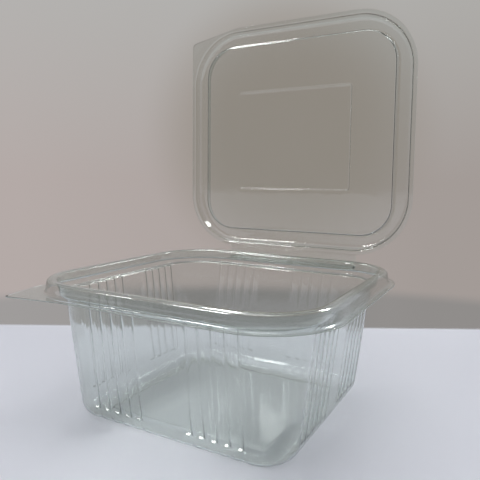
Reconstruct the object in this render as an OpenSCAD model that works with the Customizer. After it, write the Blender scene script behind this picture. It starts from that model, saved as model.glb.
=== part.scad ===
// Clear hinged food container, thermoformed from one sheet: a fluted tray and a lid on a living hinge.
// The frame stands on the tray's underside: X runs along the hinge, +Y points to the hinge, +Z is up.

/* [Tray] */
// Width across the rim bead, along the hinge
bead_w = 140; // [130:1:170]
// Depth across the rim bead, front to hinge
bead_d = 134; // [128:1:170]
// Height of the bead's crest above the table
tray_h = 65; // [54:0.5:86]
// Corner radius of the bead's outer foot
corner_r = 31; // [30:0.5:34]
// Thickness of the formed sheet
sheet = 0.4; // [0.3:0.05:0.5]
// How far the wall's outside stands in from the bead's outer foot, at the ledge
wall_in = 8.8; // [8.6:0.1:9.4]
// How much further in the wall's outside would reach at table level
wall_taper = 7.2; // [6:0.2:8]
// Outside radius between wall and floor
bottom_r = 8; // [7:0.5:9.5]

/* [Floor panel] */
// Height of the panel's underside above the table
panel_rise = 1.2; // [0.6:0.1:2]
// How far the panel's foot stands in from the bead's outer foot
panel_in = 28.4; // [27:0.1:29]
// Width of the slope round the panel
panel_slope = 1.4; // [1:0.1:2]

/* [Flutes] */
// Flutes in each group, counted from the corner
flute_count = 5; // [3:1:5]
// How far the first flute stands in from the corner axis
flute_in = 2.6; // [2.6:0.2:5]
// Spacing of the flutes
flute_pitch = 5.9; // [5.4:0.1:6.4]
// Radius of a flute's hollow, seen from outside
flute_r = 2.4; // [2:0.1:2.6]
// Depth of a flute below the wall
flute_depth = 1.2; // [0.8:0.1:1.4]

/* [Rim] */
// Height of the bead's crest above the flange
bead_rise = 6; // [4:0.2:7]
// Width of the bead at its foot
bead_foot = 6.4; // [5.8:0.1:6.6]
// Draft of the bead's two sides
bead_draft = 8; // [6:0.5:10]
// Radius of the bead's shoulders
bead_r = 1.6; // [1.2:0.1:1.8]
// Drop from the flange to the ledge inside the bead
ledge_drop = 1.2; // [0.8:0.1:2]
// Width of the flange outside the bead
flange_w = 2.8; // [2.4:0.1:4]

/* [Opening tab] */
// Radius of a tab's tip
tab_tip_r = 3; // [2:0.5:4]
// How far the tip of the lid's tab stays behind the front edge
lid_tab_back = 6.5; // [4:0.5:9]
// How far the tip of the tray's tab reaches past the front edge
tray_tab_out = 4.5; // [2:0.5:7]
// How far the tip of the tray's tab stands in from the side edge
tray_tab_in = 5; // [2:0.5:8]

/* [Lid] */
// Clearance between the closed lid and the tray's rim
nest_gap = 0.3; // [0.2:0.05:0.4]
// How far the sunk panel's edge stands in from the flange's edge
sunk_in = 11.6; // [11.6:0.2:13]
// How much tighter the sunk panel's corner is than the bead's
sunk_tight = 12.5; // [9:0.5:12.5]
// Height of the sunk panel above the flange's plane
sunk_rise = 0.5; // [0.2:0.1:1.2]
// Draft of the wall round the sunk panel
sunk_draft = 10; // [5:1:12]
// Width of the embossed field, along the hinge
field_w = 73; // [60:1:80]
// Depth of the embossed field
field_d = 61; // [50:1:70]
// How far the field's centre lies towards the hinge
field_shift = 1.5; // [0:0.5:4]
// Height of the field's step
field_step = 0.8; // [0.5:0.1:1.2]
// Angle that the lid stands open, from closed
lid_open = 90; // [0:1:120]

/* [Hinge] */
// Length of the hinge strip
hinge_l = 84; // [70:1:90]
// Distance from the flange's edge to the fold
hinge_reach = 7.5; // [4:0.5:10]
// Radius of the fold's rolled crease
crease_r = 0.6; // [0.5:0.05:0.7]
// Clearance between the lid's strip and the crease
crease_gap = 0.06; // [0.04:0.01:0.1]

/* [Hidden] */
$fn = 96;
// Overrun that makes cuts and joints clean
over = 1;
// Corner axes of the rim, which the tray's wall shares
axes = [bead_w / 2 - corner_r, bead_d / 2 - corner_r];
// Levels: upper side of the flange, upper side of the ledge, fold line
flange_z = tray_h - bead_rise;
ledge_z = flange_z - ledge_drop;
fold_z = flange_z + nest_gap / 2;
fold_y = bead_d / 2 + flange_w + hinge_reach;
// Wall: its lean and its outside at the ledge and at table level, counted from the corner axis
wall_lean = atan(wall_taper / ledge_z);
wall_top_u = corner_r - wall_in;
wall_low_u = wall_top_u - wall_taper;
// Sunk panel of the lid: underside level, half sizes, corner radius and corner axes
lid_z = flange_z + nest_gap;
sunk_z = lid_z + sunk_rise;
sunk_half = [bead_w / 2 + flange_w - sunk_in, bead_d / 2 + flange_w - sunk_in];
sunk_r = corner_r - sunk_tight;
sunk_axes = [sunk_half.x - sunk_r, sunk_half.y - sunk_r];
pet = [0.72, 0.80, 0.79, 0.45];

// Carries a section round four sides and four corners; the section is drawn as
// distance out from the corner axis and height, and at holds the first corner axis
module carry_round(at) {
    for (k = [0:3]) {
        corner = k % 2 == 0 ? at : [at.y, at.x];
        rotate([0, 0, 90 * k]) translate([corner.x, corner.y, 0]) {
            rotate([90, 0, 0]) linear_extrude(2 * corner.y) children();
            rotate_extrude(angle = 90) children();
        }
    }
}

// Block between the corner axes, from one level to another
module core_block(at, low, high) {
    translate([-at.x, -at.y, low]) cube([2 * at.x, 2 * at.y, high - low]);
}

// Flat outline with corners of radius r round the corner axes
module round_plate(at, r) {
    square([2 * (at.x + r), 2 * at.y], center = true);
    square([2 * at.x, 2 * (at.y + r)], center = true);
    for (x = [-at.x, at.x], y = [-at.y, at.y]) translate([x, y]) circle(r);
}

// Part of a disc round a centre: the quarters on the side of way.x and way.y
module disc_quarter(centre, r, way) {
    translate(centre) intersection() {
        circle(r);
        translate([way.x < 0 ? -r : 0, way.y < 0 ? -r : 0]) square(r);
    }
}

// Half section of the tray's body, its skin moved in by g: floor panel, foot, bottom radius and wall
module body_section(g, top_z) {
    // The radius touches the table and the wall, and both skins share its centre
    c = [wall_low_u + bottom_r * tan(wall_lean) - bottom_r / cos(wall_lean), bottom_r];
    r = bottom_r - g;
    foot_u = corner_r - panel_in;
    shift = g * tan(atan(panel_rise / panel_slope) / 2);
    top_u = wall_low_u + top_z * tan(wall_lean) - g / cos(wall_lean);
    polygon([
        [0, panel_rise + g],
        [foot_u - panel_slope + shift, panel_rise + g],
        [foot_u + shift, g],
        [c.x, g],
        c + r * [cos(wall_lean), -sin(wall_lean)],
        [top_u, top_z],
        [0, top_z]
    ]);
    disc_quarter(c, r, [1, -1]);
}

// Solid inside the skin moved in by g, without its flutes
module body_form(g, top_z) {
    carry_round(axes) body_section(g, top_z);
    core_block(axes, panel_rise + g, top_z);
}

// Round bars that press the flutes into the four walls, grown by g and ending at a level
module flute_bars(g, top_z) {
    for (k = [0:3], side = [-1, 1], n = [0 : flute_count - 1]) {
        at = k % 2 == 0 ? axes : [axes.y, axes.x];
        rotate([0, 0, 90 * k])
            translate([at.x + wall_low_u, side * (at.y - flute_in - n * flute_pitch), 0])
                rotate([0, wall_lean, 0])
                    translate([flute_r - flute_depth, 0, -over])
                        cylinder(h = top_z / cos(wall_lean) + over, r = flute_r + g);
    }
}

// Section of the bead, its skin moved in by g (out where g is negative), from the
// levels low_out and low_in at its two feet up to the crest
module bead_section(g, low_out, low_in) {
    lean = tan(bead_draft);
    skin = g / cos(bead_draft);
    tip = bead_r - g;
    shoulder_z = tray_h - bead_r;
    set_in = (shoulder_z - flange_z) * lean + bead_r / cos(bead_draft);
    // Both skins share the centres of the two shoulders
    outer = [corner_r - set_in, shoulder_z];
    inner = [corner_r - bead_foot + set_in, shoulder_z];
    touch = tip * [cos(bead_draft), sin(bead_draft)];
    polygon([
        [corner_r - (low_out - flange_z) * lean - skin, low_out],
        outer + touch,
        outer + [0, tip],
        inner + [0, tip],
        inner + [-touch.x, touch.y],
        [corner_r - bead_foot + (low_in - flange_z) * lean + skin, low_in]
    ]);
    disc_quarter(outer, tip, [1, 1]);
    disc_quarter(inner, tip, [-1, 1]);
}

// Formed sheet of the tray's rim: ledge and hollow bead
module rim_section() {
    ledge_u = wall_top_u - sheet / cos(wall_lean);
    bead_u = corner_r - bead_foot - ledge_drop * tan(bead_draft);
    difference() {
        union() {
            bead_section(0, flange_z - sheet, ledge_z - sheet);
            translate([ledge_u, ledge_z - sheet]) square([bead_u - ledge_u + sheet / 2, sheet]);
        }
        bead_section(sheet, flange_z - sheet - over, ledge_z - sheet - over);
    }
}

// Opening tab with its round tip, at the front and left of the flange; tip counts
// from the corner where the side edge and the front edge would meet
module tab_outline(tip) {
    edge = [axes.x + corner_r + flange_w, axes.y + corner_r + flange_w];
    corner = tip - edge;
    side = [-edge.x, corner_r / 2 - edge.y];
    front = [-axes.x, -edge.y];
    // The tip's arc touches the tab's two edges
    to_side = (side - corner) / norm(side - corner);
    to_front = (front - corner) / norm(front - corner);
    half = acos(to_side * to_front) / 2;
    way = (to_side + to_front) / norm(to_side + to_front);
    centre = corner + tab_tip_r / sin(half) * way;
    back = tab_tip_r / tan(half);
    polygon([
        [-axes.x, -axes.y],
        [-edge.x, -axes.y],
        side,
        corner + back * to_side,
        centre,
        corner + back * to_front,
        front
    ]);
    translate(centre) circle(tab_tip_r);
}

// Flat flange from the bead's foot outwards, with the tab and the strip that leads to the fold
module flange_plate(low_z, foot_u, tab_tip) {
    translate([0, 0, low_z]) linear_extrude(sheet) difference() {
        union() {
            round_plate(axes, corner_r + flange_w);
            tab_outline(tab_tip);
            translate([-hinge_l / 2, 0]) square([hinge_l, fold_y]);
        }
        round_plate(axes, foot_u);
    }
}

// Round bar along the fold
module fold_bar(r, extra) {
    translate([-hinge_l / 2 - extra, fold_y, fold_z])
        rotate([0, 90, 0])
            cylinder(h = hinge_l + 2 * extra, r = r);
}

// Tray: fluted body, rim, flange and the crease of the hinge
module base_tray() {
    color(pet) {
        difference() {
            difference() {
                body_form(0, ledge_z);
                flute_bars(0, ledge_z - sheet);
            }
            difference() {
                body_form(sheet, ledge_z + over);
                flute_bars(sheet, ledge_z + 2 * over);
            }
        }
        carry_round(axes) rim_section();
        flange_plate(flange_z - sheet, corner_r - sheet / 2, [tray_tab_in, -tray_tab_out]);
        fold_bar(crease_r, 0);
    }
}

// Solid under the lid's skin, which follows the tray's bead at distance g
module lid_form(g, low_z) {
    carry_round(axes) {
        bead_section(-g, low_z, low_z);
        translate([0, low_z]) square([corner_r - bead_foot / 2, tray_h + g - low_z]);
    }
    core_block(axes, low_z, tray_h + g);
}

// Hollow of the sunk panel, grown by g
module sunk_form(g) {
    floor_z = sunk_z + sheet - g;
    top_z = tray_h + nest_gap + sheet + over;
    wall = g / cos(sunk_draft);
    function wall_u(z) = sunk_r + (z - sunk_z - sheet) * tan(sunk_draft) + wall;
    carry_round(sunk_axes)
        polygon([[0, floor_z], [wall_u(floor_z), floor_z], [wall_u(top_z), top_z], [0, top_z]]);
    core_block(sunk_axes, floor_z, top_z);
}

// Block of the embossed field, its sides moved in by g
module field_block(g, low_z, high_z) {
    translate([g - field_w / 2, field_shift + g - field_d / 2, low_z])
        cube([field_w - 2 * g, field_d - 2 * g, high_z - low_z]);
}

// Lid as it lies closed on the tray
module closed_lid() {
    difference() {
        union() {
            difference() {
                lid_form(nest_gap + sheet, lid_z);
                sunk_form(0);
            }
            field_block(0, sunk_z, sunk_z + field_step + sheet);
            flange_plate(lid_z, corner_r + nest_gap + sheet / 2, [0, lid_tab_back]);
        }
        difference() {
            lid_form(nest_gap, lid_z - over);
            sunk_form(sheet);
        }
        field_block(sheet, sunk_z - over, sunk_z + field_step);
        fold_bar(crease_r + crease_gap, over);
    }
}

// Lid turned open about the fold
module lid() {
    color(pet)
        translate([0, fold_y, fold_z])
            rotate([-lid_open, 0, 0])
                translate([0, -fold_y, -fold_z])
                    closed_lid();
}

base_tray();
lid();
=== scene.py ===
"""Clear hinged food box of thermoformed PET sheet: looks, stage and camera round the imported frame."""
import math

import bpy
import numpy as np
from mathutils import Matrix


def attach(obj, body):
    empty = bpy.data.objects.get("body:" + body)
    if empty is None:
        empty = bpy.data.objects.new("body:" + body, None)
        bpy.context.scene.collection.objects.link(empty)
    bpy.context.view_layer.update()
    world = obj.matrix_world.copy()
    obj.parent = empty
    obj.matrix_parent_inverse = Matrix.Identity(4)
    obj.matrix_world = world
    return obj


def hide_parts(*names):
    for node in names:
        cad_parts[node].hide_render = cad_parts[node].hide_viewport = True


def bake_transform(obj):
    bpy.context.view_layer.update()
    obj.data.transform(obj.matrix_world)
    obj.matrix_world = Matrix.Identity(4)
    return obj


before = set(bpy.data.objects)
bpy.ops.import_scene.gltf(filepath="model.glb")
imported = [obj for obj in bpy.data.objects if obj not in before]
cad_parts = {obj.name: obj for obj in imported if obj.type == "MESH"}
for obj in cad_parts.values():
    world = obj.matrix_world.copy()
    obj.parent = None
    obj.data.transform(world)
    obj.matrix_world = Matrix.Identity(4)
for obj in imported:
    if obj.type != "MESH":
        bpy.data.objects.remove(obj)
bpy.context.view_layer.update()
scene = bpy.context.scene

# Sizes in millimetres, the same as in the part's source
MM = 0.001
SHEET = 0.4
BEAD_W = 140.0
BEAD_D = 134.0
TRAY_H = 65.0
CORNER_R = 31.0
WALL_IN = 8.8
WALL_TAPER = 7.2
BOTTOM_R = 8.0
PANEL_RISE = 1.2
PANEL_IN = 28.4
PANEL_SLOPE = 1.4
FLUTE_COUNT = 5
FLUTE_IN = 2.6
FLUTE_PITCH = 5.9
FLUTE_DEPTH = 1.2
BEAD_RISE = 6.0
BEAD_FOOT = 6.4
BEAD_R = 1.6
BEAD_LEAN = math.tan(math.radians(8))
LEDGE_DROP = 1.2
FLANGE_W = 2.8
TAB_TIP_R = 3.0
TRAY_TAB_OUT = 4.5
TRAY_TAB_IN = 5.0
LID_TAB_BACK = 6.5
NEST_GAP = 0.3
SUNK_IN = 11.6
SUNK_TIGHT = 12.5
SUNK_RISE = 0.5
SUNK_LEAN = math.tan(math.radians(10))
FIELD_W = 73.0
FIELD_D = 61.0
FIELD_SHIFT = 1.5
FIELD_STEP = 0.8
HINGE_L = 84.0
HINGE_REACH = 7.5

# Values that follow from them
HALF = SHEET / 2
AXES = np.array([BEAD_W / 2 - CORNER_R, BEAD_D / 2 - CORNER_R])
EDGE_U = CORNER_R + FLANGE_W
FLANGE_Z = TRAY_H - BEAD_RISE
LEDGE_Z = FLANGE_Z - LEDGE_DROP
FOLD_Y = BEAD_D / 2 + FLANGE_W + HINGE_REACH
FOLD_Z = FLANGE_Z + NEST_GAP / 2
WALL_LEAN = WALL_TAPER / LEDGE_Z
WALL_LOW_U = CORNER_R - WALL_IN - WALL_TAPER
PANEL_FOOT_U = CORNER_R - PANEL_IN
SUNK_R = CORNER_R - SUNK_TIGHT
SUNK_SHIFT = BEAD_W / 2 + FLANGE_W - SUNK_IN - SUNK_R - AXES[0]

# Heights of the sheet's middle surface, and how far the lid's channel lies outside the tray's bead
TRAY_PANEL = PANEL_RISE + HALF
TRAY_LEDGE = LEDGE_Z - HALF
TRAY_CREST = TRAY_H - HALF
TRAY_FLANGE = FLANGE_Z - HALF
LID_PANEL = FLANGE_Z + NEST_GAP + SUNK_RISE + HALF
LID_CREST = TRAY_H + NEST_GAP + HALF
LID_FLANGE = FLANGE_Z + NEST_GAP + HALF
NEST_OFF = NEST_GAP + HALF

# The crease is a quarter turn between the two strips, half a sheet and half a gap off the fold
CREASE_BACK = 0.7
CREASE_OFF = HALF + NEST_GAP / 2

# Rounding of the formed sheet where the source has sharp bends: at the floor panel's edge, over the ledge
# and in it, at the bead's foot, at the sunk panel's foot and top, and at the embossed field's corners
PANEL_R = 0.8
LEDGE_TOP_R = 1.2
LEDGE_FOOT_R = 1.1
FOOT_R = 1.5
FOOT_U = CORNER_R + FOOT_R
SUNK_FOOT_R = 0.7
SUNK_TOP_R = 1.3
FIELD_R = 1.5
# Width of the embossed field's smooth step
FIELD_EDGE = 1.0
# Flat run of the panels inside the first bend, on the tray and on the lid
TRAY_PANEL_RUN = 1.0
LID_PANEL_RUN = 3.0
# Last run of the lid's crest, which already has the rim's own corners
CREST_END = 1.0

# Half widths of a flute's flat and of all of it
FLUTE_FLAT = 0.8
FLUTE_REACH = 2.8
# Heights between which most of a flute ends in a lip, and up to which the rows are closer
LIP_LOW = 7.3
LIP_HIGH = 8.1
LIP_TOP = 8.7
# Share of its depth that runs on round the bottom radius, and the turns of the sheet between which that
# fades
FLUTE_REST = 0.2
REST_FROM = math.radians(60)
REST_TO = math.radians(86)
# Share of its depth halfway up, where the sheet was drawn out of the groove, the heights between which it
# is shallower, and the run in which it changes
MID_SHARE = 0.5
MID_LOW = 9.0
MID_HIGH = 53.0
MID_RUN = 8.0
# Height below the ledge at which the fade over the ledge takes over, where that fade starts past the wall,
# and how far the flutes stay off the floor panel's foot
LEDGE_NEAR = 2.0
FADE_START = 0.1
FOOT_CLEAR = 0.5

# Stations round the rim: steps over a flute's pitch, over the plain middle of a side, round a corner,
# round the corner with the tabs, and along the hinge strip's end, with the turns in degrees before it
FLUTE_STEPS = 10
MIDDLE_STEPS = 8
CORNER_STEPS = 20
TAB_STEPS = 60
STRIP_STEPS = 4
STRIP_START = [0, 1.5, 3]
# A corner's stations count on past the side's end by this length for each radian of turn
CORNER_RUN = 10.0
# Shares of the way from the bead's foot to the flange's edge, from the middle of a panel to its edge, and
# from the embossed field to the sunk panel's foot
FLANGE_SHARES = np.array([0.25, 0.5, 0.75, 0.94, 1.0])
FLOOR_SHARES = np.array([0.04, 0.3, 0.6, 0.85])
FIELD_SHARES = np.array([0.04, 0.35, 0.7, 0.92])
PLAIN_SHARES = np.array([0.08, 0.35, 0.65, 0.92])
FIELD_ROWS = 8
CREASE_ROWS = 13
CREASE_COLUMNS = 41
# Limits for comparing shares and directions, and for dividing
TINY = 1e-9
ON_CORNER = 0.999
FACES_BACK = 0.5


def linear(code):
    """Linear colour of an sRGB hex value."""
    c = np.array([int(code[i:i + 2], 16) / 255 for i in (1, 3, 5)])
    c = np.where(c <= 0.04045, c / 12.92, ((c + 0.055) / 1.055) ** 2.4)
    return (*c.tolist(), 1.0)


def add(tree, kind, links=None, **settings):
    """Adds a node of a kind with its settings, and gives its inputs values or links by socket."""
    node = tree.nodes.new(kind)
    for name, value in settings.items():
        setattr(node, name, value)
    for key, value in (links or {}).items():
        if isinstance(value, bpy.types.NodeSocket):
            tree.links.new(value, node.inputs[key])
        else:
            node.inputs[key].default_value = value
    return node


def emptied(owner):
    """Node tree of a material or world, with nothing in it."""
    owner.use_nodes = True
    owner.node_tree.nodes.clear()
    return owner.node_tree


# Materials
PET_IOR = 1.57
# Absorption of the sheet in 1/m: little across it, much along it, so that bends and edges look darker
PET_CAST = "#6F9C8F"
PET_ABSORPTION = 260.0
# Ripples of the drawn sheet are about 9 mm long and a few hundredths deep
RIPPLE_LENGTH = 9.0
RIPPLE_DEPTH = 0.06
# Haze comes in patches of about 22 mm and roughens the sheet by this much
HAZE_LENGTH = 22.0
HAZE_ROUGH = 0.03


def clear_pet(name, tint, rough):
    """PET sheet, thermoformed: clear and glossy, with a faint green-grey cast, a slow ripple from the
    mould and a little haze where the sheet was drawn thin."""
    made = bpy.data.materials.new(name)
    tree = emptied(made)
    place = add(tree, "ShaderNodeTexCoord").outputs["Object"]
    ripple = add(tree, "ShaderNodeTexNoise", {
        "Vector": place, "Scale": 1 / (RIPPLE_LENGTH * MM), "Detail": 2.0, "Roughness": 0.4})
    bump = add(tree, "ShaderNodeBump", {
        "Height": ripple.outputs["Fac"], "Strength": 0.35, "Distance": RIPPLE_DEPTH * MM})
    patch = add(tree, "ShaderNodeTexNoise", {
        "Vector": place, "Scale": 1 / (HAZE_LENGTH * MM), "Detail": 3.0})
    haze = add(tree, "ShaderNodeMapRange", {
        "Value": patch.outputs["Fac"], "From Min": 0.3, "From Max": 0.7,
        "To Min": rough, "To Max": rough + HAZE_ROUGH})
    surface = add(tree, "ShaderNodeBsdfPrincipled", {
        "Base Color": linear(tint), "Roughness": haze.outputs["Result"], "IOR": PET_IOR,
        "Transmission Weight": 1.0, "Normal": bump.outputs["Normal"]})
    body = add(tree, "ShaderNodeVolumeAbsorption", {
        "Color": linear(PET_CAST), "Density": PET_ABSORPTION})
    add(tree, "ShaderNodeOutputMaterial", {
        "Surface": surface.outputs["BSDF"], "Volume": body.outputs["Volume"]})
    return made


def cut_edge(name, tone, rough):
    """Edge of the sheet where the die cut it: rough, so that it scatters pale light."""
    made = bpy.data.materials.new(name)
    tree = emptied(made)
    surface = add(tree, "ShaderNodeBsdfPrincipled", {
        "Base Color": linear(tone), "Roughness": rough, "IOR": PET_IOR, "Transmission Weight": 0.4})
    add(tree, "ShaderNodeOutputMaterial", {"Surface": surface.outputs["BSDF"]})
    return made


PET = clear_pet("thermoformed_clear_pet", "#FEFFFE", 0.04)
CREASE_PET = clear_pet("creased_clear_pet", "#F2F7F5", 0.12)
CUT_PET = cut_edge("cut_edge_of_clear_pet", "#C6CECA", 0.6)


# Shapes
def smooth(t):
    """Smooth step from 0 to 1: 3t^2 - 2t^3, with t held between 0 and 1."""
    t = np.clip(t, 0.0, 1.0)
    return t * t * (3 - 2 * t)


def unit(way):
    """A direction made one long."""
    return way / np.linalg.norm(way)


def rounded_line(bends):
    """Line through points with an arc at each bend: the arc touches both legs at r * tan(turn / 2)
    from the point. A bend is a point's distance and height, its radius, the steps round its arc and
    the steps on the leg that leads to it."""
    points = np.array([bend[:2] for bend in bends], float)
    run = [points[:1]]
    for i, (radius, arc_steps, leg_steps) in enumerate((bend[2:] for bend in bends[1:]), 1):
        way = unit(points[i] - points[i - 1])
        arc = points[i:i + 1]
        if radius > 0:
            after = unit(points[i + 1] - points[i])
            turn = math.atan2(way[0] * after[1] - way[1] * after[0], way @ after)
            start = points[i] - radius * math.tan(abs(turn) / 2) * way
            left = np.array([-way[1], way[0]]) * math.copysign(1, turn)
            a = np.linspace(0, abs(turn), arc_steps + 1)[:, None]
            arc = start + radius * (np.sin(a) * way + (1 - np.cos(a)) * left)
        t = np.linspace(0, 1, leg_steps + 1)[1:-1, None]
        run += [run[-1][-1:] * (1 - t) + arc[:1] * t, arc]
    return np.concatenate(run)


def side_places(half):
    """Places of the stations along a side, from -half to half: close over the flutes, wide between them."""
    inner = half - FLUTE_IN - (FLUTE_COUNT - 0.5) * FLUTE_PITCH
    flutes = np.linspace(half, inner, FLUTE_STEPS * FLUTE_COUNT + 1)
    middle = np.linspace(inner, -inner, MIDDLE_STEPS + 1)[1:-1]
    return -np.concatenate([flutes, middle, -flutes[::-1]])


def stations():
    """Stations round the rim, against the clock from the front of the right side. Each has a corner
    share in [-1, 1] for x and y, a direction out, and its distance from the side's middle (on a
    corner, the side's half length and more), so that a point is share * axes + u * out."""
    strip = np.degrees(np.arctan2(HINGE_L / 2 - AXES[0], [EDGE_U + HINGE_REACH, EDGE_U]))
    even = np.linspace(0, 90, CORNER_STEPS + 1)
    hinge = np.concatenate([STRIP_START, np.linspace(strip[0], strip[1], STRIP_STEPS + 1), even[2:]])
    tab = np.linspace(0, 90, TAB_STEPS + 1)
    share, out, along = [], [], []
    for k, bend in enumerate((90 - hinge[::-1], hinge, tab, even)):
        half = AXES[1] if k % 2 == 0 else AXES[0]
        turn = math.radians(90 * k)
        c, s = math.cos(turn), math.sin(turn)
        spin = np.array([[c, s], [-s, c]])
        t = side_places(half)[:-1]
        share.append(np.stack([np.ones_like(t), t / half], 1) @ spin)
        out.append(np.tile([1.0, 0.0], (len(t), 1)) @ spin)
        along.append(t)
        a = np.radians(bend[:-1])
        share.append(np.ones((len(a), 2)) @ spin)
        out.append(np.stack([np.cos(a), np.sin(a)], 1) @ spin)
        along.append(half + CORNER_RUN * a)
    return np.concatenate(share), np.concatenate(out), np.concatenate(along)


def flute_dent(share, along):
    """Depth of the flutes at each station: depth * smooth((reach - d) / (reach - flat)), with d the
    distance from the nearest flute's middle, full over its flat and run out at its reach."""
    at_end = np.abs(np.abs(share) - 1) < TINY
    half = np.where(at_end[:, 1], AXES[0], AXES[1])
    places = FLUTE_IN + FLUTE_PITCH * np.arange(FLUTE_COUNT)
    d = np.min(np.abs((half - np.abs(along))[:, None] - places), axis=1)
    d = np.where(np.all(at_end, axis=1), FLUTE_IN + np.maximum(along - half, 0), d)
    return FLUTE_DEPTH * smooth((FLUTE_REACH - d) / (FLUTE_REACH - FLUTE_FLAT))


def tab_reach(turn, tip):
    """Distance from the corner axis to the tab's edge at an angle from the side: the nearest of the
    side edge and the tab's two edges, and the tip's arc between its two touching points."""
    side = np.array([EDGE_U, EDGE_U - CORNER_R / 2])
    front = np.array([0.0, EDGE_U])
    way = np.stack([np.cos(turn), np.sin(turn)], 1)
    reach = EDGE_U / np.maximum(way[:, 0], TINY)
    for a, b in ((side, tip), (tip, front)):
        normal = np.array([(b - a)[1], -(b - a)[0]])
        facing = way @ normal
        cut = (a @ normal) / np.maximum(facing, TINY)
        reach = np.where(facing > TINY, np.minimum(reach, cut), reach)
    to_side = unit(side - tip)
    to_front = unit(front - tip)
    half = math.acos(to_side @ to_front) / 2
    centre = tip + TAB_TIP_R / math.sin(half) * unit(to_side + to_front)
    touch = [tip + TAB_TIP_R / math.tan(half) * edge for edge in (to_side, to_front)]
    low, high = (math.atan2(p[1], p[0]) for p in touch)
    near = way @ centre
    inside = np.maximum(near * near - centre @ centre + TAB_TIP_R ** 2, 0)
    return np.where((turn > low) & (turn < high), near + np.sqrt(inside), reach)


def edge_reach(share, out, tip):
    """Distance of the flange's edge from the corner axes: the flange, the strip to the crease at
    the back and the tab at the front left."""
    reach = np.full(len(out), EDGE_U)
    strip_back = (EDGE_U + HINGE_REACH - CREASE_BACK) / np.maximum(out[:, 1], TINY)
    strip_end = (HINGE_L / 2 - AXES[0]) / np.maximum(np.abs(out[:, 0]), TINY)
    back = (out[:, 1] > FACES_BACK) & (share[:, 1] > ON_CORNER)
    reach = np.where(back, np.maximum(np.minimum(strip_back, strip_end), EDGE_U), reach)
    tab = np.all(out < TINY, axis=1) & np.all(share < -ON_CORNER, axis=1)
    turn = np.arctan2(np.maximum(-out[:, 1], 0), np.maximum(-out[:, 0], 0))
    return np.where(tab, tab_reach(turn, tip), reach)


def flange_rows(share, out, tip, height):
    """Distances and heights of the flange's rows: level, from the bead's foot out to the edge."""
    t = FLANGE_SHARES[:, None]
    u = FOOT_U * (1 - t) + edge_reach(share, out, tip) * t
    return u, np.full_like(u, height)


def rim_rows(share, out, centre, axes, u, z):
    """Rows of points: centre + share * axes + u * out in plan, at height z. Axes, u and z may differ
    from row to row."""
    flat = centre + share * axes[:, None] + u[..., None] * out
    return np.concatenate([flat, z[..., None]], -1)


def wall_u(z):
    """Distance of the tray's wall from the corner axes at a height: it leans out evenly."""
    return WALL_LOW_U + z * WALL_LEAN - HALF * math.hypot(1, WALL_LEAN)


def bead_in_u(z):
    """Distance of the bead's inner side, which leans out with the height."""
    return CORNER_R - BEAD_FOOT + (z - FLANGE_Z) * BEAD_LEAN + HALF * math.hypot(1, BEAD_LEAN)


def bead_out_u(z, off):
    """Distance of the bead's outer side, which leans in with the height, or of a side off outside it."""
    return CORNER_R - (z - FLANGE_Z) * BEAD_LEAN + off * math.hypot(1, BEAD_LEAN)


def sunk_u(z):
    """Distance of the sunk panel's side from the rim's corner axes, which leans out with the height."""
    return SUNK_SHIFT + SUNK_R + (z - LID_PANEL) * SUNK_LEAN


def tray_line():
    """Profile of the tray's middle surface: floor panel, foot, wall, ledge, bead and flange."""
    bead_r = BEAD_R - HALF
    return rounded_line([
        (PANEL_FOOT_U - PANEL_SLOPE - TRAY_PANEL_RUN, TRAY_PANEL, 0, 0, 0),
        (PANEL_FOOT_U - PANEL_SLOPE, TRAY_PANEL, PANEL_R, 3, 1),
        (PANEL_FOOT_U, HALF, PANEL_R, 3, 1),
        (wall_u(HALF), HALF, BOTTOM_R - HALF, 12, 1),
        (wall_u(LIP_TOP), LIP_TOP, 0, 0, 9),
        (wall_u(TRAY_LEDGE), TRAY_LEDGE, LEDGE_TOP_R, 5, 6),
        (bead_in_u(TRAY_LEDGE), TRAY_LEDGE, LEDGE_FOOT_R, 5, 1),
        (bead_in_u(TRAY_CREST), TRAY_CREST, bead_r, 6, 2),
        (bead_out_u(TRAY_CREST, -HALF), TRAY_CREST, bead_r, 6, 2),
        (bead_out_u(TRAY_FLANGE, -HALF), TRAY_FLANGE, FOOT_R, 7, 2),
        (FOOT_U, TRAY_FLANGE, 0, 0, 1)])


def lid_line():
    """Profile of the lid's middle surface: sunk panel, its side, the bead's channel and flange."""
    return rounded_line([
        (sunk_u(LID_PANEL) - LID_PANEL_RUN, LID_PANEL, 0, 0, 0),
        (sunk_u(LID_PANEL), LID_PANEL, SUNK_FOOT_R, 6, 2),
        (sunk_u(LID_CREST), LID_CREST, SUNK_TOP_R, 6, 4),
        (bead_out_u(LID_CREST, NEST_OFF), LID_CREST, BEAD_R + NEST_OFF, 8, 3),
        (bead_out_u(LID_FLANGE, NEST_OFF), LID_FLANGE, FOOT_R - NEST_GAP - SHEET, 6, 3),
        (FOOT_U, LID_FLANGE, 0, 0, 1)])


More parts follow.
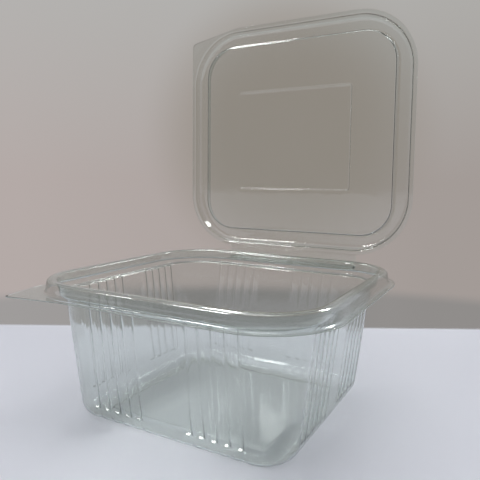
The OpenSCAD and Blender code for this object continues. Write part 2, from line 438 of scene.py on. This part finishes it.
def fluted(line, dent):
    """Distances and heights of a profile with the flutes pressed in by dent * share along the sheet's
    normal: all of it on the wall, less halfway up, past the lip a shallow rest that goes on round the
    bottom radius, and a fade over the ledge."""
    u, z = line[:, :1], line[:, 1:]
    run = np.gradient(line, axis=0)
    run = run / np.linalg.norm(run, axis=1)[:, None]
    on_wall = (z < TRAY_LEDGE - LEDGE_NEAR) & (u > PANEL_FOOT_U + FOOT_CLEAR)
    inward = np.where(on_wall, np.stack([-run[:, 1], run[:, 0]], 1), [-1.0, 0.0])
    turn = np.arctan2(inward[:, 1:], -inward[:, :1])
    rest = FLUTE_REST * (1 - smooth((turn - REST_FROM) / (REST_TO - REST_FROM)))
    ends = smooth((MID_LOW + MID_RUN - z) / MID_RUN) + smooth((z - MID_HIGH + MID_RUN) / MID_RUN)
    pressed = rest + (1 - rest) * np.clip((z - LIP_LOW) / (LIP_HIGH - LIP_LOW), 0, 1)
    pressed = pressed * (MID_SHARE + (1 - MID_SHARE) * ends)
    ledge_u = wall_u(TRAY_LEDGE)
    fade = 1 - smooth((u - ledge_u - FADE_START) / (bead_in_u(TRAY_LEDGE) - ledge_u))
    push = np.where(z > TRAY_LEDGE - LEDGE_NEAR, fade, np.where(on_wall, pressed, 0.0)) * dent
    return u + inward[:, :1] * push, z + inward[:, 1:] * push


def tray_rows(share, out, along):
    """Middle surface of the tray, from the floor panel out to the flange's edge."""
    u, z = fluted(tray_line(), flute_dent(share, along))
    tip = np.array([EDGE_U - TRAY_TAB_IN, EDGE_U + TRAY_TAB_OUT])
    flange_u, flange_z = flange_rows(share, out, tip, TRAY_FLANGE)
    rim = rim_rows(share, out, np.zeros(2), AXES[None],
                   np.concatenate([u, flange_u]), np.concatenate([z, flange_z]))
    # Floor panel, shrunk towards its middle
    panel = rim[:1] * FLOOR_SHARES[:, None, None]
    panel[..., 2] = TRAY_PANEL
    return np.concatenate([panel, rim])


def lid_rows(share, out):
    """Middle surface of the lid, from the embossed field out to the flange's edge, turned open by
    90 degrees: (x, y, z) goes to (x, fold y + z - fold z, fold z + fold y - y)."""
    line = lid_line()
    u, z = line[:, :1], line[:, 1:]
    # The sunk panel has corner axes of its own, and the crest leads from them to the rim's
    crest_u = sunk_u(LID_CREST)
    own = 1 - smooth((u - crest_u) / (bead_out_u(LID_CREST, NEST_OFF) - crest_u - CREST_END))
    every = np.ones(len(out))
    tip = np.array([EDGE_U, EDGE_U - LID_TAB_BACK])
    flange_u, flange_z = flange_rows(share, out, tip, LID_FLANGE)
    axes = np.concatenate([AXES + own * SUNK_SHIFT, np.tile(AXES, (len(flange_u), 1))])
    u = np.concatenate([(u - own * SUNK_SHIFT) * every, flange_u])
    rim = rim_rows(share, out, np.zeros(2), axes, u, np.concatenate([z * every, flange_z]))
    # Embossed field: a step of smooth profile round its own small corners
    s = np.linspace(0, 1, FIELD_ROWS)[:, None]
    side = np.array([[FIELD_W / 2, FIELD_D / 2]]) - FIELD_R
    step_u = FIELD_R - FIELD_EDGE / 2 + FIELD_EDGE * s
    step_z = LID_PANEL + FIELD_STEP * (1 - smooth(s))
    step = rim_rows(share, out, np.array([0.0, FIELD_SHIFT]), side, step_u * every, step_z * every)
    middle = np.array([0.0, FIELD_SHIFT, LID_PANEL + FIELD_STEP])
    field = middle + (step[:1] - middle) * FIELD_SHARES[:, None, None]
    t = PLAIN_SHARES[:, None, None]
    plain = step[-1:] * (1 - t) + rim[:1] * t
    rows = np.concatenate([field, step, plain, rim])
    x, y, z = rows[..., 0], rows[..., 1], rows[..., 2]
    return np.stack([x, FOLD_Y + z - FOLD_Z, FOLD_Z + FOLD_Y - y], -1)


def finished(name, points, faces, material):
    """Smooth mesh object from points in millimetres, with half the sheet's thickness to both sides of
    its surface and a cut edge all round."""
    mesh = bpy.data.meshes.new(name)
    mesh.from_pydata((points * MM).tolist(), [], faces)
    mesh.polygons.foreach_set("use_smooth", np.ones(len(mesh.polygons), bool))
    mesh.materials.append(material)
    mesh.materials.append(CUT_PET)
    mesh.update()
    piece = bpy.data.objects.new(name, mesh)
    scene.collection.objects.link(piece)
    wall = piece.modifiers.new("sheet", "SOLIDIFY")
    wall.thickness = SHEET * MM
    wall.offset = 0.0
    wall.material_offset_rim = 1
    return piece


def shell(name, rows, material):
    """Sheet from rows of points round the rim, closed by one point in the middle of the first row."""
    count, ring = rows.shape[:2]
    points = np.concatenate([rows[0].mean(0)[None], rows.reshape(-1, 3)])
    i = np.arange(ring)
    j = (i + 1) % ring
    fan = np.stack([np.zeros_like(i), 1 + i, 1 + j], 1)
    base = 1 + ring * np.arange(count - 1)[:, None]
    quads = np.stack([base + i, base + ring + i, base + ring + j, base + j], -1).reshape(-1, 4)
    return finished(name, points, fan.tolist() + quads.tolist(), material)


def crease_sheet(name, material):
    """Crease of the living hinge: a quarter circle from the tray's strip up into the lid's strip."""
    r = CREASE_BACK + CREASE_OFF
    a, x = np.meshgrid(np.linspace(0, math.pi / 2, CREASE_ROWS),
                       np.linspace(-HINGE_L / 2, HINGE_L / 2, CREASE_COLUMNS), indexing="ij")
    y = FOLD_Y - CREASE_BACK + r * np.sin(a)
    z = FOLD_Z + CREASE_BACK - r * np.cos(a)
    points = np.stack([x, y, z], -1).reshape(-1, 3)
    number = np.arange(len(points)).reshape(CREASE_ROWS, CREASE_COLUMNS)
    faces = np.stack([number[:-1, :-1], number[:-1, 1:], number[1:, 1:], number[1:, :-1]], -1)
    return finished(name, points, faces.reshape(-1, 4).tolist(), material)


# Pieces
share, out, along = stations()
tray = shell("tray_sheet", tray_rows(share, out, along), PET)
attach(tray, "base")
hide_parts("base_tray")
lid = shell("lid_sheet", lid_rows(share, out), PET)
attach(lid, "lid")
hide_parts("lid")
crease = crease_sheet("hinge_crease", CREASE_PET)
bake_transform(crease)


def turned(across, upward, back, place):
    """Matrix that turns a thing's own axes to three directions and puts it at a place in metres."""
    return Matrix([*np.column_stack([across, upward, back, place]).tolist(), [0, 0, 0, 1]])


# Camera at the photograph's angle, in millimetres, degrees and pixels of a 480 frame
EYE = np.array([124.57, -212.05, 109.70])
YAW = math.radians(28.94)
PITCH = math.radians(-5.07)
ROLL = math.radians(0.54)
FOCAL_PX = 505.6
MID_X = 240.0
MID_Y = 225.0
FRAME_PX = 480.0
# Level directions along the view and to its right
FORWARD = np.array([-math.sin(YAW), math.cos(YAW), 0.0])
SIDEWAYS = np.array([math.cos(YAW), math.sin(YAW), 0.0])
ahead = FORWARD * math.cos(PITCH) + np.array([0.0, 0.0, math.sin(PITCH)])
level_up = np.cross(SIDEWAYS, ahead)
right = SIDEWAYS * math.cos(ROLL) + level_up * math.sin(ROLL)
up = level_up * math.cos(ROLL) - SIDEWAYS * math.sin(ROLL)
lens = bpy.data.cameras.new("camera")
lens.sensor_width = 36.0
lens.lens = FOCAL_PX * lens.sensor_width / FRAME_PX
lens.shift_x = (FRAME_PX / 2 - MID_X) / FRAME_PX
lens.shift_y = (MID_Y - FRAME_PX / 2) / FRAME_PX
lens.clip_start = 0.01
lens.clip_end = 50.0
camera = bpy.data.objects.new("camera", lens)
camera.matrix_world = turned(right, up, -ahead, EYE * MM)
scene.collection.objects.link(camera)
scene.camera = camera

# Stage: a pale matt table top that ends in a soft edge, at a level distance from the eye in millimetres
TABLE_EDGE = 372.0
TABLE_BLUR = 3.0
TABLE_TONE = "#D8D9E0"
# Half the table's width and its drop below the box, in metres
TABLE_HALF = 4.0
TABLE_DROP = 0.0002
floor_mesh = bpy.data.meshes.new("floor")
corners = [(x * TABLE_HALF, y * TABLE_HALF, 0.0) for x, y in ((-1, -1), (1, -1), (1, 1), (-1, 1))]
floor_mesh.from_pydata(corners, [], [(0, 1, 2, 3)])
floor = bpy.data.objects.new("floor", floor_mesh)
floor.location.z = -TABLE_DROP
scene.collection.objects.link(floor)

table = bpy.data.materials.new("matt_table")
tree = emptied(table)
eye_depth = FORWARD @ EYE
place = add(tree, "ShaderNodeTexCoord").outputs["Object"]
depth = add(tree, "ShaderNodeVectorMath", {0: place, 1: FORWARD}, operation="DOT_PRODUCT")
past_edge = add(tree, "ShaderNodeMapRange", {
    "Value": depth.outputs["Value"], "From Min": (eye_depth + TABLE_EDGE - TABLE_BLUR) * MM,
    "From Max": (eye_depth + TABLE_EDGE + TABLE_BLUR) * MM}, interpolation_type="SMOOTHSTEP")
matt = add(tree, "ShaderNodeBsdfPrincipled", {
    "Base Color": linear(TABLE_TONE), "Roughness": 0.9, "Specular IOR Level": 0.1})
gone = add(tree, "ShaderNodeBsdfTransparent")
top = add(tree, "ShaderNodeMixShader", {
    0: past_edge.outputs["Result"], 1: matt.outputs["BSDF"], 2: gone.outputs["BSDF"]})
add(tree, "ShaderNodeOutputMaterial", {"Surface": top.outputs["Shader"]})
floor_mesh.materials.append(table)

# Light: an even dome for the diffuse light, which the eye and the clear sheet see as a grey room
DOME = (0.72, 0.73, 0.755, 1.0)
# Tones of the wall at its left and right: the low band, the pinkish middle and the grey top
LOW_WALL = ("#9F9C9B", "#908D8B")
MIDDLE_WALL = ("#B4AAA7", "#A39B97")
TOP_WALL = ("#B4B3B1", "#AFAEAB")
# Shares of the way sideways between which the left tone goes over to the right one
LEFT_SIDE = -0.4
RIGHT_SIDE = 0.35
# Edge of the low band as a share of the way up, its half blur, and where the top tone is reached
BAND_RISE = -0.21
BAND_BLUR = 0.012
TOP_RISE = 0.35
# Painted shade on the wall behind the tray and the lid, as darker round patches: pixel, inner and outer
# angle, and tone
TRAY_PAINTED_SHADE = ((245, 307), 4, 16, "#898786")
LID_PAINTED_SHADE = ((290, 135), 5, 17, "#9A928A")
# Tone of the dark side of the room, behind the eye, and the shares of the way ahead where it goes over to
# the wall
ROOM_DARK = "#4C4A48"
DARK_TO = 0.25
WALL_FROM = 0.88
# Depths count whole bounces, so a depth under a half is none
NO_BOUNCE = 0.5


def with_painted_shade(tree, way, tone, pixel, inner, outer, dark):
    """Wall's tone with painted shade: a darker round patch about the way through a pixel, full inside one
    angle in degrees and gone outside another."""
    middle = ahead * FOCAL_PX + right * (pixel[0] - MID_X) - up * (pixel[1] - MID_Y)
    toward = add(tree, "ShaderNodeVectorMath", {0: way, 1: unit(middle)}, operation="DOT_PRODUCT")
    cover = add(tree, "ShaderNodeMapRange", {
        "Value": toward.outputs["Value"], "From Min": math.cos(math.radians(outer)),
        "From Max": math.cos(math.radians(inner))}, interpolation_type="SMOOTHSTEP")
    shaded = add(tree, "ShaderNodeMix", {
        "Factor": cover.outputs["Result"], "A": tone, "B": linear(dark)}, data_type="RGBA")
    return shaded.outputs["Result"]


world = bpy.data.worlds.new("room")
scene.world = world
tree = emptied(world)
path = add(tree, "ShaderNodeLightPath").outputs
way = add(tree, "ShaderNodeTexCoord").outputs["Generated"]
height = add(tree, "ShaderNodeSeparateXYZ", {"Vector": way}).outputs["Z"]

# The wall is a little darker to the right, and has broad patches of painted shade behind the tray and the
# lid
lean = add(tree, "ShaderNodeVectorMath", {0: way, 1: SIDEWAYS}, operation="DOT_PRODUCT")
aside = add(tree, "ShaderNodeMapRange", {
    "Value": lean.outputs["Value"], "From Min": LEFT_SIDE, "From Max": RIGHT_SIDE})
tones = []
for left_tone, right_tone in (LOW_WALL, MIDDLE_WALL, TOP_WALL):
    across = add(tree, "ShaderNodeMix", {
        "Factor": aside.outputs["Result"], "A": linear(left_tone), "B": linear(right_tone)},
        data_type="RGBA")
    tones.append(across.outputs["Result"])
# Painted shade on the low band behind the tray
low_tone = with_painted_shade(tree, way, tones[0], *TRAY_PAINTED_SHADE)
above = add(tree, "ShaderNodeMapRange", {
    "Value": height, "From Min": BAND_RISE - BAND_BLUR, "From Max": BAND_RISE + BAND_BLUR},
    interpolation_type="SMOOTHSTEP")
banded = add(tree, "ShaderNodeMix", {
    "Factor": above.outputs["Result"], "A": low_tone, "B": tones[1]}, data_type="RGBA")
rise = add(tree, "ShaderNodeMapRange", {"Value": height, "From Min": 0.0, "From Max": TOP_RISE})
plain = add(tree, "ShaderNodeMix", {
    "Factor": rise.outputs["Result"], "A": banded.outputs["Result"], "B": tones[2]}, data_type="RGBA")
# Painted shade on the wall behind the lid
wall_tone = with_painted_shade(tree, way, plain.outputs["Result"], *LID_PAINTED_SHADE)

# Reflections show the dark side of the room; straight through the sheet the wall stays as it is
facing = add(tree, "ShaderNodeVectorMath", {0: way, 1: FORWARD}, operation="DOT_PRODUCT")
front = add(tree, "ShaderNodeMapRange", {
    "Value": facing.outputs["Value"], "From Min": DARK_TO, "From Max": WALL_FROM})
straight = add(tree, "ShaderNodeMath", {0: path["Glossy Depth"], 1: NO_BOUNCE}, operation="LESS_THAN")
shown = add(tree, "ShaderNodeMath", {
    0: front.outputs["Result"], 1: straight.outputs["Value"]}, operation="MAXIMUM")
seen = add(tree, "ShaderNodeMix", {
    "Factor": shown.outputs["Value"], "A": linear(ROOM_DARK), "B": wall_tone}, data_type="RGBA")
# The clear sheet sees the room only where no matt surface came before it, so that the dome lights the rest
clear = add(tree, "ShaderNodeMath", {
    0: path["Is Glossy Ray"], 1: path["Is Transmission Ray"]}, operation="MAXIMUM")
unlit = add(tree, "ShaderNodeMath", {0: path["Diffuse Depth"], 1: NO_BOUNCE}, operation="LESS_THAN")
mirror = add(tree, "ShaderNodeMath", {
    0: clear.outputs["Value"], 1: unlit.outputs["Value"]}, operation="MULTIPLY")
dome = add(tree, "ShaderNodeMix", {
    "Factor": mirror.outputs["Value"], "A": DOME, "B": seen.outputs["Result"]}, data_type="RGBA")
colour = add(tree, "ShaderNodeMix", {
    "Factor": path["Is Camera Ray"], "A": dome.outputs["Result"], "B": wall_tone}, data_type="RGBA")
sky = add(tree, "ShaderNodeBackground", {"Color": colour.outputs["Result"], "Strength": 1.0})
add(tree, "ShaderNodeOutputWorld", {"Surface": sky.outputs["Background"]})


# Direction that no lamp shines along, to which the lamps' sides are square
LAMP_TOP = [0.0, 1.0, 0.001]


def softbox(name, place, aim, side, watts):
    """Square area light at a place, turned to a point."""
    lamp = bpy.data.lights.new(name, "AREA")
    lamp.shape = "RECTANGLE"
    lamp.size = side
    lamp.size_y = side
    lamp.energy = watts
    piece = bpy.data.objects.new(name, lamp)
    back = unit(np.array(place, float) - np.array(aim, float))
    across = unit(np.cross(LAMP_TOP, back))
    piece.matrix_world = turned(across, np.cross(back, across), back, place)
    scene.collection.objects.link(piece)
    return piece


# Places and sides in metres: a broad light overhead, and bright small lamps that only gleam on the sheet,
# two high at the back, two at the left and one overhead
GLEAM_AIM = (0, 0, 0.03)
GLEAMS = (((0.2, 0.71, 0.68), 0.14, 9.0), ((-0.47, 0.57, 0.75), 0.12, 10.0),
          ((-0.485, -0.63, 0.73), 0.2, 4.2), ((-0.68, -0.56, 0.64), 0.1, 1.0),
          ((-0.05, 0.05, 1.0), 0.3, 0.8))
softbox("overhead", (-0.15, 0.1, 1.2), (0, 0, 0), 0.9, 2.6)
for lamp_place, lamp_side, lamp_watts in GLEAMS:
    gleam = softbox("gleam", lamp_place, GLEAM_AIM, lamp_side, lamp_watts)
    gleam.visible_diffuse = False

scene.view_settings.view_transform = "Standard"
# A ray crosses a dozen sheet faces and more between the eye and the background
SHEET_BOUNCES = 32
scene.cycles.max_bounces = SHEET_BOUNCES
scene.cycles.transmission_bounces = SHEET_BOUNCES
scene.cycles.transparent_max_bounces = SHEET_BOUNCES
scene.cycles.glossy_bounces = 8
